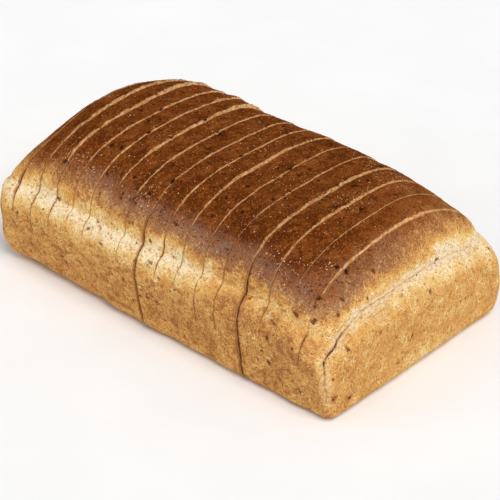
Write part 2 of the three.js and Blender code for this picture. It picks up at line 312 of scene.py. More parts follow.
def torn_edge(cut, away, y, z, share):
    """Where the crust is torn off beside a cut on the crown, so that the crumb shows."""
    place = cut_place(cut, 17.9, y, z)
    ragged = 1 + 0.8 * noise(place, 6, 47) + 0.5 * noise(place, 1.8, 48) + 0.5 * noise(place, 0.8, 49)
    width = share * (0.06 + 0.74 * LIPS[cut]) * ragged * smooth(-58, -48, y) * smooth(52, 60, z)
    width = width * mix(0.65, 1, smooth(-45, -15, y))
    return smooth(0.2, -0.1, away - width) * np.clip(width / 0.2, 0, 1)


def seam(cut, away, gap, y, z):
    """The pale seam that a closed cut leaves on the wall, broken here and there."""
    place = cut_place(cut, 23.3, y, z)
    broken = smooth(-0.3, 0.4, noise(place, 5, 53)) * smooth(4, 12, z) * smooth(46, 42, z)
    return 0.4 * broken * (gap < 2 * CLOSED) * np.exp(-((away / 0.3) ** 2))


def cut_gap_shade(cut, away, gap, y, z):
    """Painted shade: how dark the crust is painted at the edge of an open cut, below the crown, reaching
    further where the cut stands wider.
    """
    place = cut_place(cut, 23.3, y, z)
    reach = 0.35 + 0.45 * np.clip(gap, 0, 1.2) + 0.25 * noise(place, 2, 50)
    return smooth(0.08, 0.4, gap) * smooth(74, 62, z) * np.exp(-((away / np.maximum(0.2, reach)) ** 2))


def path_along_cut(y, z):
    """How far up a cut a point is: its height on the wall, and beyond that its way in over the crown."""
    on_crown = smooth(49, 51, z)
    return z * (1 - on_crown) + (CREASE_HEIGHT + CROWN_HALF_WIDTH - np.abs(y)) * on_crown


def gap_at(cut, y, z):
    """How wide a cut stands open."""
    crown, shoulder, wall, bottom = CUTS[cut]
    knots = [bottom - 3, bottom + 2, 43, 47, 57, 68]
    values = [CLOSED, wall, wall, shoulder, shoulder, crown]
    gap = np.interp(path_along_cut(y, z), knots, values)
    place = cut_place(cut, 53.1, y, z)
    return np.maximum(CLOSED, gap * (1 + 0.35 * noise(place, 6, 43) + 0.25 * noise(place, 2, 44)))


def wobble_at(cut, y, z):
    """How far a cut strays from its plane."""
    place = cut_place(cut, 53.1, y, z)
    return 0.32 * noise(place, 10, 45) + 0.12 * noise(place, 2.6, 46)


# Pits of the crust that show: x, y, z, radius
PITS = [
    (88.2, -62.5, 52.8, 1.5), (78.6, -67.5, 45.8, 1.3), (76.2, -69.9, 37.1, 1.2), (92.3, -69.9, 38, 1.1),
    (76, -68.1, 21.2, 1.4), (95.6, -67.4, 12.8, 1.0), (114.7, -63.7, 15.1, 1.3), (115.2, -52.1, 10.3, 1.5),
    (-8.3, -63.2, 55, 1.1), (-4.3, -68.4, 47.2, 1.5), (-21.9, -69.1, 27.9, 1.3), (-36.5, -70.4, 40.6, 0.9),
    (108.4, 22.6, 52.4, 1.1), (116.3, 8.2, 43.7, 1.0), (104.1, -22.3, 65, 1.2), (107.7, -30.9, 55, 0.9),
    (-48.9, -67.1, 46.6, 1.4), (-65.7, -67.5, 27, 1.2), (-93.2, -65.2, 19.3, 1.3), (-33.2, -57.3, 67.6, 1.2),
    (-25.9, -55.3, 69.7, 1.2), (-54, -57.3, 67.1, 1.0), (-50, -50.9, 71.8, 1.1), (-75, -62, 51.2, 1.3),
    (-35.2, -63.1, 54.5, 1.1), (-48.1, -58.3, 64.5, 1.1), (-61.3, -36.2, 78.3, 1.2), (-19, -50.8, 72.7, 1.1),
    (-77.9, -54.5, 70.3, 1.2), (114.2, -52.6, 39.1, 1.3), (116.7, -6, 24, 1.1), (96, -54, 61.2, 1.3),
    (98.1, -35.7, 69.3, 1.5), (103.3, -45.4, 59.6, 1.0), (98, -60.5, 51.5, 1.3), (109.3, 62, 40.2, 1.1),
    (96, -57, 58, 1.2), (105, -50, 54, 1.0), (113, -11, 50, 1.2), (115, -65, 28, 0.9), (116, -16, 13, 0.8),
    (-50, -65, 10, 1.1), (-17, -67, 16, 1.0), (-5, -69, 25, 1.2), (5, -67, 14, 0.9), (-21, -62, 59, 1.0),
]
# Pits on top of the crown: x, y, radius
CROWN_PITS = [
    (-39, 12, 1.1), (-25, 8, 1.3), (-72, -3, 1.1), (-64, 4, 1.1), (-52, -17, 1.2), (-55, -35, 1.2),
    (0, -3, 1.0), (22, -22, 1.2), (27, 4, 1.3), (68, -8, 1.3), (62, 14, 1.0), (77, 0, 1.5),
    (19, -35, 1.1), (33, -39, 1.0), (-34, -46, 1.1), (-13, -40, 1.2), (80, 23, 1.0), (94, -38, 1.1),
    (45, 6, 0.9), (10, 4, 1.0), (-45, 21, 1.0),
]
SMALL_PITS = 1700
# Cracks and folds of the near heel: width, depth, how pale they are and the points they run through
CRACKS = [
    (0.5, 1.5, 0.5, [(112.5, -69.5, 33.5), (109.9, -66.4, 37.3), (108.9, -62.5, 38.6),
                      (108.4, -58.5, 39.6)]),
    (0.45, 1.2, 0.8, [(108.4, -58.5, 39.6), (108.3, -53, 42.0), (108.2, -48, 46.0), (108.2, -43, 48.6)]),
    (0.35, 0.5, 1.0, [(108.2, -43, 48.6), (108.6, -35.3, 50.5), (107.8, -24, 50.9), (108.4, -13.2, 50.8)]),
    (0.3, 0.4, 1.0, [(108.4, -13.2, 50.8), (107.8, -2, 51.4), (108.4, 12.8, 51.7), (107.9, 33.3, 50.3),
                      (108, 50.9, 46.5)]),
    (0.4, 0.9, 0.6, [(109.9, -66.4, 37.3), (111.9, -68.4, 30.4)]),
    (0.4, 0.45, 0.6, [(111.9, -68.4, 30.4), (112.6, -67.7, 23.4), (112, -66.6, 14)]),
    (0.35, 0.35, 0.4, [(110.3, -68.6, 32.7), (108.9, -69.3, 23.6), (108.2, -67.5, 14)]),
    (0.4, 0.5, 0.1, [(97, -65, 46.4), (99.2, -64.5, 43.9), (102.7, -63.6, 42.2), (106.5, -62.5, 41.8)]),
    (0.35, 0.4, 0.1, [(96.9, -67, 41.5), (99.5, -67.5, 40.8), (102, -67.3, 38.5), (105, -67.5, 38.3)]),
    (0.35, 0.4, 0.6, [(110.5, -38, 48.5), (112.4, -30, 47.5), (112.8, -22, 48.2)]),
    (0.3, 0.45, 0.0, [(54.5, -62.8, 50.8), (60, -63, 51.2), (65, -62.8, 51.8), (69.5, -62.5, 52.4)]),
]


def pits_of_crust():
    """The pits that show, and small ones all over: centre, radius and depth."""
    rng = np.random.default_rng(5)
    count = SMALL_PITS
    x = rng.uniform(-HALF_LENGTH, HALF_LENGTH, count)
    angle = rng.uniform(0, 1, count)
    # Spread them by the way round the section: walls, then crown
    ring = sections(np.linspace(-HALF_LENGTH + 9, HALF_LENGTH - 12, 60))
    station = np.clip(((x + HALF_LENGTH) / LENGTH * 60).astype(int), 0, 59)
    place = (angle * (ring.shape[1] - BASE_STEPS)).astype(int)
    spots = ring[station, place]
    centres = np.column_stack([x, spots])
    # On the ends, the points move out to the end wall
    ends = int(count * 0.16)
    sides = rng.choice([-1, 1], ends)
    y = rng.uniform(-HALF_WIDTH + 6, HALF_WIDTH - 6, ends)
    z = rng.uniform(3, 50, ends)
    on_end = np.column_stack([sides * (HALF_LENGTH + 0.8), y, z])
    centres = np.concatenate([centres, on_end])
    radius = rng.uniform(0.35, 0.8, len(centres)) * rng.choice([1, 1, 1.5], len(centres))
    top = [(x, y, crown_height(x, y), radius) for x, y, radius in CROWN_PITS]
    shown = np.array(PITS + top, float)
    centres = np.concatenate([shown[:, :3], centres])
    radius = np.concatenate([shown[:, 3], radius])
    depth = rng.uniform(0.2, 0.8, len(radius))
    depth[:len(shown)] = rng.uniform(0.75, 1.0, len(shown))
    return centres, radius, depth, rng.normal(size=(len(radius), 3))


PIT_CENTRES, PIT_RADII, PIT_DEPTHS, PIT_AXES = pits_of_crust()


def pitted(p):
    """How deep the pits are at each point, and how much painted shade their hollows get."""
    deep = np.zeros(len(p))
    dark = np.zeros(len(p))
    low, high = p.min(0) - 4, p.max(0) + 4
    near = np.all((PIT_CENTRES > low) & (PIT_CENTRES < high), axis=1)
    ragged = 1 + 0.45 * noise(p, 1.6, 60) + 0.45 * noise(p, 0.8, 57)
    for centre, radius, depth, axis in zip(
            PIT_CENTRES[near], PIT_RADII[near], PIT_DEPTHS[near], PIT_AXES[near]):
        offset = p - centre
        found = np.flatnonzero(np.abs(offset).max(axis=1) < 3.2 * radius)
        if len(found) == 0:
            continue
        offset = offset[found]
        axis = axis / np.linalg.norm(axis)
        stretched = offset - 0.4 * np.outer(offset @ axis, axis)
        away = np.linalg.norm(stretched, axis=1) * ragged[found] / radius
        bowl = np.exp(-away**3)
        rim = 0.22 * np.exp(-((away - 1.45) / 0.4) ** 2)
        deep[found] += radius * 0.6 * depth * (bowl - rim)
        # Painted shade in the pit's hollow, darker where the pit is deeper
        dark[found] = np.maximum(dark[found], depth * np.exp(-((away / 0.9) ** 3)))
    return deep, dark


def distance_to_path(p, n, path):
    """Distance of each point from a line of points, measured along the surface with normals n."""
    path = np.array(path, float)
    least = np.full(len(p), np.inf)
    for a, b in zip(path[:-1], path[1:]):
        d = b - a
        t = np.clip((p - a) @ d / (d @ d), 0, 1)
        offset = p - a - t[:, None] * d
        depth = np.sum(offset * n, axis=1)
        away = np.linalg.norm(offset - depth[:, None] * n, axis=1) + np.maximum(0, np.abs(depth) - 3)
        least = np.minimum(least, away)
    return least


def cracked(p, n):
    """How deep the cracks are at each point, how much painted shade their grooves get, and how pale the crust
    is beside them.
    """
    deep = np.zeros(len(p))
    dark = np.zeros(len(p))
    pale = np.zeros(len(p))
    if p[:, 0].max() < 50:
        return deep, dark, pale
    stray = 0.6 * np.stack([noise(p, 4, 61), noise(p, 4, 62), noise(p, 4, 63)], axis=-1)
    ragged = 1 + 0.6 * noise(p, 1.3, 59)
    edge = 1 + 0.45 * noise(p, 6, 51) + 0.45 * noise(p, 1.8, 52)
    for width, depth, paleness, path in CRACKS:
        away = distance_to_path(p + stray, n, path)
        groove = np.exp(-((away / (width * ragged)) ** 2))
        rim = 0.3 * np.exp(-(((away - 2.4 * width) / (1.4 * width)) ** 2))
        deep += depth * (groove - rim)
        # Painted shade in the crack's groove, darker where the crack is deeper
        dark = np.maximum(dark, min(0.9, 0.1 + 0.6 * depth) * groove)
        pale = np.maximum(pale, paleness * smooth(1.4, 0.3, away / (4.6 * edge)))
    return deep, dark, np.minimum(1, pale)


def browning(p):
    """How far each point is on the way from cream to the darkest crust, from 0 to 1, and its painted sheen: a
    grey tint for the light's reflection where the crown turns down.
    """
    x, y, z = p.T
    front = smooth(10, -10, y)
    below = crease_height(x, y) - z + 0.8 * noise(p, 9, 68) + 0.4 * noise(p, 3, 58)
    inward = crown_foot(x) - np.abs(y) + 1.2 * noise(p, 14, 64) + 0.6 * noise(p, 4, 65)
    near = HALF_LENGTH - ENDS["ledge"][0] - x + 1.5 * noise(p, 12, 66) + 0.8 * noise(p, 4, 67)
    far = x + HALF_LENGTH - ENDS["ledge"][1]
    # How far in from the crown's side and its two ends a point is, and in what length the crust browns
    ways = [
        (inward + 0.8, mix(6.2, 4.3, smooth(-110, -10, x))),
        (near, mix(4.9, 6.2, smooth(-20, -50, y))), (far, 4.0),
    ]
    bake_and_shade = np.prod([1 - np.exp(-np.maximum(0, way) / scale) for way, scale in ways], axis=0)
    crown = bake_and_shade * (0.95 - 0.03 * smooth(-40, -5, y)) - 0.14 * smooth(-30, 60, y) * smooth(30, 100, x)
    crown = crown + 0.08 * smooth(20, 55, x) * smooth(90, 75, x) * np.exp(-(((y + 50) / 9) ** 2))
    wall = np.interp(below, [0, 2.5, 4.5, 7.5, 10.5, 18, 30], [0.0, 0.02, 0.06, 0.13, 0.22, 0.29, 0.32])
    wall = wall + 0.03 * smooth(-30, 20, x) - 0.09 * smooth(12, 2, z)
    # Painted shade: the cream band darkens along the front towards the near end, where the light falls on it
    # less
    near_front_shade = smooth(15, 60, x) * front * smooth(111, 106, x)
    wall = wall + 0.21 * near_front_shade * smooth(18, 9, below)
    on_end = smooth(107, 112, x)
    wall = wall + 0.06 * on_end * smooth(20, -30, y) * smooth(9, 4, below)
    pale_foot = 0.13 * np.exp(-((y / 24) ** 2) - ((z - 5) / 8) ** 2)
    end = np.minimum(wall, 0.22) + 0.05 * smooth(-40, -60, y) - pale_foot + 0.03 * smooth(30, -20, y)
    wall = mix(wall, end, on_end)
    on_crown = smooth(-1.5, 1.5, -below)
    # The crown's foot also gets the painted shade along the front towards the near end
    tone = mix(wall, np.maximum(crown, 0.17 * near_front_shade + 0.04 * on_end * smooth(30, 0, y)), on_crown)
    # Painted sheen: a grey-mauve tint on the crown's turning shoulder at the front and on the near heel,
    # standing in for the light's reflection at grazing angles
    sheen_side = np.maximum(smooth(-20, -50, y), 0.7 * smooth(88, 96, x) * smooth(15, -15, y))
    painted_sheen = smooth(0.3, 0.55, bake_and_shade) * (1 - smooth(0.82, 0.99, bake_and_shade)) * on_crown * sheen_side
    painted_sheen = painted_sheen * smooth(-95, -30, x) * mix(1, 0.75, smooth(92, 102, x)) * (0.75 + 0.5 * noise(p, 8, 69))
    return np.clip(tone, 0, 1), np.clip(painted_sheen, 0, 1)


def relief(p, tone):
    """How far the crust stands out or in, without its pits and cracks."""
    pale = np.exp(-tone / 0.12)
    dark = smooth(0.5, 0.9, tone)
    lumps = (0.26 - 0.06 * dark) * noise(p, 11, 70) + (0.14 - 0.04 * dark) * noise(p, 5, 71)
    grain = 0.09 * noise(p, 2.3, 72) + 0.05 * noise(p, 1.2, 73)
    crumbly = pale * (0.16 * noise(p, 1.5, 74) - 0.2 * np.abs(noise(p, 2.2, 75)))
    leather = dark * 0.1 * (1 - 2.5 * np.abs(noise(p, (3.4, 2.0, 2.0), 76)))
    return lumps + grain * (1 + 0.5 * pale) + crumbly + leather


def swelling(p, share_along):
    """How far the swellings move each point: away from the core, and by a share of that along the loaf."""
    height = sum(h * np.exp(-np.sum(((p - place) / reach) ** 2, axis=1)) for place, reach, h in SWELLINGS)
    core = np.clip(p, [-CORE[0], -CORE[1], CORE[2]], CORE)
    out = unit(p - core)
    out[:, 0] *= np.ravel(share_along)
    return out * (height * np.clip(p[:, 2] / 4, 0, 1))[:, None]


def dressed(points, normals, share_along):
    """The crust's points moved by its swellings and relief, with what its material reads."""
    shape = points.shape[:-1]
    p = points.reshape(-1, 3)
    n = normals.reshape(-1, 3)
    tone, painted_sheen = browning(p)
    pit_depth, pit_shade = pitted(p)
    crack_depth, crack_shade, pale = cracked(p, n)
    lightest = mix(0.05, 0.11, smooth(20, -40, p[:, 1]))
    tone = mix(tone, np.minimum(tone, lightest), pale)
    torn = 0.8 * pale * (noise(p, (1.2, 2.6, 1.2), 77) - np.abs(noise(p, (0.9, 2.2, 0.9), 78)))
    out = relief(p, tone) - pit_depth - crack_depth + torn
    # The base stays flat
    out = out * smooth(0.2, 2.5, p[:, 2])
    moved = p + n * out[:, None] + swelling(p, share_along)
    moved[:, 2] = np.maximum(moved[:, 2], 0.0)
    moved[p[:, 2] <= 0, 2] = 0.0
    # Painted shade in the hollows of the pits and cracks
    dark = np.maximum(pit_shade, crack_shade)
    crumbly = np.maximum(0.9 * pale, 0.5 * smooth(0.1, 0.01, tone))
    values = {"tone": tone, "painted_sheen": painted_sheen, "dark": dark, "crumbly": crumbly}
    return moved.reshape(*shape, 3), {k: v.reshape(shape) for k, v in values.items()}


def unit(vectors):
    return vectors / np.maximum(1e-9, np.linalg.norm(vectors, axis=-1, keepdims=True))


def slice_normals(points):
    """Outward normals of a slice's grid: its rows run along X and its columns round the section."""
    across = np.gradient(points, axis=0)
    around = np.roll(points, -1, 1) - np.roll(points, 1, 1)
    return unit(np.cross(around, across))


def heel_normals(points, way):
    """Outward normals of a heel's grid, whose rows are its levels."""
    up = np.gradient(points, axis=0)
    around = np.gradient(points, axis=1)
    return unit(np.cross(up, around) * way)


class Faces:
    """Points, faces and the values at each point of a piece while it is made."""

    def __init__(self):
        self.points = []
        names = ("tone", "painted_sheen", "dark", "crumbly", "torn", "edge", "inside")
        self.values = {name: [] for name in names}
        self.faces = []
        self.crumb = []
        self.count = 0

    def add(self, points, values):
        points = points.reshape(-1, 3)
        first = self.count
        self.points.append(points)
        for name, rows in self.values.items():
            rows.append(np.broadcast_to(np.asarray(values.get(name, 0.0)).reshape(-1), (len(points),)))
        self.count += len(points)
        return first

    def join(self, faces, crumb=0):
        faces = np.asarray(faces).reshape(-1, np.shape(faces)[-1])
        self.faces.append(faces)
        self.crumb.append(np.full(len(faces), crumb))

    def grid(self, first, rows, columns, closed, flip):
        """Faces between the points of a grid."""
        i = np.arange(rows - 1)[:, None]
        j = np.arange(columns if closed else columns - 1)[None, :]
        k = (j + 1) % columns
        a = first + i * columns + j
        b = first + i * columns + k
        quad = np.stack([a, b, b + columns, a + columns], axis=-1)
        self.join(quad[..., ::-1] if flip else quad)

    def cap(self, loop, place, facing):
        """The crumb of a cut face: rings inward from a closed loop of points to the middle."""
        outer = np.concatenate(self.points)[loop]
        # Painted shade: below the crown's top the cut face lies in the next slice's shadow, so its rim is
        # painted darker there
        bake_and_shade = smooth(74, 64, outer[:, 2])
        centre = np.array([np.mean(outer[:, 0]), place, CREASE_HEIGHT / 2])
        reach = np.linalg.norm((outer - centre)[:, 1:], axis=1)
        rings = [np.asarray(loop)]
        for depth, stride in ((0.5, 1), (1.4, 1), (3.2, 4), (7, 4), (14, 4), (24, 4)):
            chosen = outer[::stride]
            share = np.clip(depth / reach[::stride], 0, 0.85)[:, None]
            points = mix(chosen, centre, share)
            hollow = np.abs(noise(points, 2.2, 80)) * 0.35 + np.abs(noise(points, 5, 81)) * 0.3
            points[:, 0] -= facing * hollow * smooth(0.2, 2.0, depth)
            first = self.add(points, {"inside": np.full(len(points), depth), "dark": bake_and_shade[::stride]})
            ring = first + np.arange(len(points))
            self.ring_faces(rings[-1], ring, facing)
            rings.append(ring)
        hub = self.add(centre[None], {"inside": 30.0})
        last = rings[-1]
        self.join(turned(np.stack([last, np.roll(last, -1), 0 * last + hub], axis=-1), facing), 1)

    def ring_faces(self, outer, inner, facing):
        """Faces between two rings, where the inner one has as many points or a quarter of them."""
        if len(outer) == len(inner):
            quad = np.stack([outer, np.roll(outer, -1), np.roll(inner, -1), inner], axis=-1)
            self.join(turned(quad, facing), 1)
            return
        group = outer.reshape(-1, 4)
        a, b, c, d = group.T
        e = np.roll(a, -1)
        f, g = inner, np.roll(inner, -1)
        for triangle in ((a, b, f), (b, c, f), (c, g, f), (c, d, g), (d, e, g)):
            self.join(turned(np.stack(triangle, axis=-1), facing), 1)

    def mesh(self, name):
        points = np.concatenate(self.points) / 1000
        sizes = np.concatenate([np.full(len(f), f.shape[1]) for f in self.faces])
        corners = np.concatenate([f.reshape(-1) for f in self.faces])
        starts = np.concatenate([[0], np.cumsum(sizes)[:-1]])
        mesh = bpy.data.meshes.new(name)
        mesh.vertices.add(len(points))
        mesh.vertices.foreach_set("co", points.astype(np.float32).ravel())
        mesh.loops.add(len(corners))
        mesh.loops.foreach_set("vertex_index", corners.astype(np.int32))
        mesh.polygons.add(len(sizes))
        mesh.polygons.foreach_set("loop_start", starts.astype(np.int32))
        mesh.polygons.foreach_set("material_index", np.concatenate(self.crumb).astype(np.int32))
        mesh.update(calc_edges=True)
        for key, rows in self.values.items():
            layer = mesh.attributes.new(key, "FLOAT", "POINT")
            layer.data.foreach_set("value", np.concatenate(rows).astype(np.float32))
            mesh.validate()
        mesh.shade_smooth()
        mesh.set_sharp_from_angle(angle=math.radians(55))
        return mesh


def turned(faces, facing):
    """Faces as they are where facing is above 0, and else turned over."""
    return faces if facing > 0 else faces[:, ::-1]


# The crust's points, for what is scattered over it
CRUST = []
# How far each piece lies to the back, as in the part, and the middle slice that says where the row is
SHIFTS = np.array([0.9, 1.2, 0.6, 1, 0.5, 0.9, -0.6, -0.2, -0.8, 0.1, -0.4, 0.2, -0.5, -0.2, 0.3, -0.3, 0])
MIDDLE = 8


def keep_crust(points, normals, tone):
    """Keeps a piece's crust for what is scattered over it: place, outward normal and tone."""
    CRUST.append(np.concatenate([points, normals, tone[..., None]], axis=-1)[2:-2].reshape(-1, 7))


def slice_faces(index, start, end, shift):
    """A slice between two cuts."""
    count = int((end - start - 2 * EDGE) / STATION)
    inner = np.linspace(start + EDGE, end - EDGE, count)
    x = np.concatenate([start + NEAR_CUT, inner, (end - NEAR_CUT)[::-1]])
    ring = sections(x)
    ring = smoothed(ring, 1, crease_weight(ring[..., 0], ring[..., 1]))
    y, z = ring[..., 0], ring[..., 1]
    points = np.concatenate([np.broadcast_to(x[:, None, None], y.shape + (1,)), ring], axis=-1)
    points, values = dressed(points, slice_normals(points), 0)
    share = ((x - start) / (end - start))[:, None]
    left = start - KERF / 2 + wobble_at(index - 1, y, z) + gap_at(index - 1, y, z) / 2
    right = end + KERF / 2 + wobble_at(index, y, z) - gap_at(index, y, z) / 2
    points[..., 0] += (left - start) * (1 - share) + (right - end) * share
    rise = np.where(share < 0.5, 2 * LIP_AT_MIDDLE * share, mix(LIP_AT_MIDDLE, 1, 2 * share - 1))
    points[..., 2] += LIPS[index] * rise * lip_share(index, y, z) * lip_noise(y, index)
    for cut, away in ((index - 1, x - start), (index, end - x)):
        gap = gap_at(cut, y, z)
        shape_edge(points, values, index, cut, away[:, None], gap, y, z)
        values["torn"] = np.maximum(values["torn"], seam(cut, away[:, None], gap, y, z))
    points[..., 1] += shift
    keep_crust(points, slice_normals(points), values["tone"])
    faces = Faces()
    first = faces.add(points, values)
    rows, columns = y.shape
    faces.grid(first, rows, columns, True, False)
    loop = np.arange(columns)
    faces.cap(first + (rows - 1) * columns + loop, shift, 1)
    faces.cap(first + loop, shift, -1)
    return faces


def shape_edge(points, values, index, cut, away, gap, y, z):
    """A piece's edge at a cut: drawn in and given painted shade where the cut stands open, and torn on the
    crown.
    """
    drop_in(points, np.clip(1 - away / EDGE, 0, 1) ** 2, gap, cut)
    torn = torn_edge(cut, away, y, z, 0.45 if cut == index else 0.3)
    values["torn"] = np.maximum(values.get("torn", 0), torn)
    values["edge"] = np.maximum(values.get("edge", 0), cut_gap_shade(cut, away, gap, y, z))
    points[..., 1] += step_at(cut, index, gap) * np.clip(1 - away / STEP_REACH, 0, 1)


def step_at(cut, index, gap):
    """How far a piece's edge moves across, so that it meets its neighbour where the cut is closed."""
    other = cut if cut < index else cut + 1
    return (SHIFTS[other] - SHIFTS[index]) / 2 * (1 - np.clip((gap - CLOSED) / 0.25, 0, 1))


def drop_in(points, pull, gap, cut):
    """Draws the edge of a cut in towards the middle of the section."""
    y, z = points[..., 1], points[..., 2] - CREASE_HEIGHT / 2
    torn = noise(points + [61.0 * cut, 0, 0], 1.3, 82)
    open_cut = np.minimum(1, (gap - CLOSED) / 0.6)
    drop = pull * np.maximum(0, open_cut * (0.6 + 0.3 * torn))
    drop = drop * smooth(0.5, 3, points[..., 2])
    reach = np.maximum(1, np.hypot(y, z))
    points[..., 1] = y * (1 - drop / reach)
    points[..., 2] = np.maximum(0, CREASE_HEIGHT / 2 + z * (1 - drop / reach))


def rail(cut, way, length, front, back, radius):
    """Points and outward directions along a rounded outline, from a cut at the back round the end."""
    angles = np.linspace(QUARTER, 0, CORNER_STEPS + 1)
    path = [(cut, rounded_half_width(cut, length, back, radius), 0, 1)]
    for side, width, turns in ((1, back, angles), (-1, front, angles[::-1])):
        for angle in turns:
            nx, ny = way * math.cos(angle), side * math.sin(angle)
            x = way * (length - radius) + radius * nx
            if way * (x - cut) >= 0:
                path.append((x, side * (width - radius) + radius * ny, nx, ny))
    path.append((cut, -rounded_half_width(cut, length, front, radius), 0, -1))
    path = np.array(path, float)
    run = np.concatenate([[0], np.cumsum(np.hypot(*np.diff(path[:, :2], axis=0).T))])
    wanted = np.linspace(0, run[-1], HEEL_COLUMNS + 1)
    rows = np.stack([np.interp(wanted, run, path[:, k]) for k in range(4)], axis=-1)
    rows[:, 2:] = unit(rows[:, 2:])
    return rows


def heel_levels(cut, way):
    """A heel's grid: its levels run round its end, and then from the crown's foot up to the cut."""
    ledge, corner, end_edge = (float(end_value(name, way)) for name in ("ledge", "corner", "end_round"))
    edge = float(along("side_round", cut))
    fronts = level_insets(edge, along("front_lean", cut))
    backs = level_insets(edge, along("back_lean", cut))
    ends = level_insets(end_edge, end_value("end_lean", way))
    belly = rail(cut, way, HALF_LENGTH, HALF_WIDTH, HALF_WIDTH, TIN_CORNER)
    foot = rail(cut, way, HALF_LENGTH - ledge, CROWN_HALF_WIDTH, CROWN_HALF_WIDTH, corner)
    crease = crease_height(belly[:, 0], belly[:, 1])
    levels = []
    for k, to_foot in enumerate(TO_FOOT):
        radius = max(LEAST_CORNER, TIN_CORNER - fronts[k])
        row = rail(cut, way, HALF_LENGTH - ends[k], HALF_WIDTH - fronts[k], HALF_WIDTH - backs[k], radius)
        row = mix(row, foot, to_foot)
        faces_end = row[:, 2] ** 2
        z = level_heights(mix(edge, end_edge, faces_end), crease)[:, k]
        bulge = END_BULGE * faces_end * (1 - (row[:, 1] / HALF_WIDTH) ** 2) * np.minimum(1, z / end_edge)
        x = row[:, 0] + way * bulge * (1 - to_foot)
        levels.append(np.stack([x, row[:, 1], z], axis=-1))
    target = crown_levels(np.array([cut]), HEEL_COLUMNS)[0]
    for j in range(1, HEEL_CROWN_STEPS + 1):
        t = (j / HEEL_CROWN_STEPS) ** HEEL_CROWN_CROWDING
        x = mix(foot[:, 0], cut, t)
        y = mix(foot[:, 1], target[:, 0], t)
        levels.append(np.stack([x, y, crown_height(x, y)], axis=-1))
    points = np.array(levels)
    weight = 1 - smooth(2.5, 7, np.abs(points[..., 2] - crease - 1))
    weight[[0, -1]] = 0
    points = smoothed(points, 0, weight)
    points[:, [0, -1], 0] = cut
    return points


def heel_faces(index, cut, way, shift):
    """A heel beyond a cut."""
    plane = index if way < 0 else index - 1
    points = heel_levels(cut, way)
    x, y, z = np.moveaxis(points.copy(), -1, 0)
    away = np.abs(x - cut)
    gap = gap_at(plane, y, z)
    share_along = np.clip(away / LIP_SPREAD, 0, 1)
    points, values = dressed(points, heel_normals(points, way), share_along)
    # What lies in the cut's plane stays in it
    fade = np.clip(1 - away / GAP_REACH, 0, 1)
    move = wobble_at(plane, y, z) + way * (gap - KERF) / 2
    points[..., 0] = np.where(fade > 0.999, cut + move, points[..., 0] + fade * move)
    points[..., 2] += LIPS[index] * (1 - share_along) * lip_share(index, y, z) * lip_noise(y, plane)
    shape_edge(points, values, index, plane, away, gap, y, z)
    points[..., 1] += shift
    keep_crust(points, heel_normals(points, way), values["tone"])
    faces = Faces()
    first = faces.add(points, values)
    rows, columns = y.shape
    faces.grid(first, rows, columns, False, way > 0)
    base = first + np.arange(columns)
    up = first + np.arange(rows) * columns
    crest = first + (rows - 1) * columns + np.arange(1, columns - 1)
    rim = np.concatenate([up, crest, (up + columns - 1)[::-1]])
    # The base's own points along the cut close the loop of the cut face, which has to divide by four
    count = BASE_STEPS - 1
    count += -(len(rim) + count) % 4
    t = np.linspace(0, 1, count + 2)[1:-1, None]
    line = faces.add(mix(points[0, -1], points[0, 0], t), {"tone": BASE_TONE}) + np.arange(count)
    faces.cap(np.concatenate([rim, line]), shift, -way)
    hub = faces.add(np.array([[cut + way * 4, shift, 0.0]]), {"tone": BASE_TONE})
    under = np.concatenate([base, line])
    ring = np.stack([under, np.roll(under, -1), 0 * under + hub], axis=-1)
    faces.join(turned(ring, way))
    return faces


def colour(red, green, blue):
    """A colour from its 0 to 255 values on a screen."""
    line = [v / 12.92 if v <= 0.04045 else ((v + 0.055) / 1.055) ** 2.4
            for v in (red / 255, green / 255, blue / 255)]
    return (*line, 1)


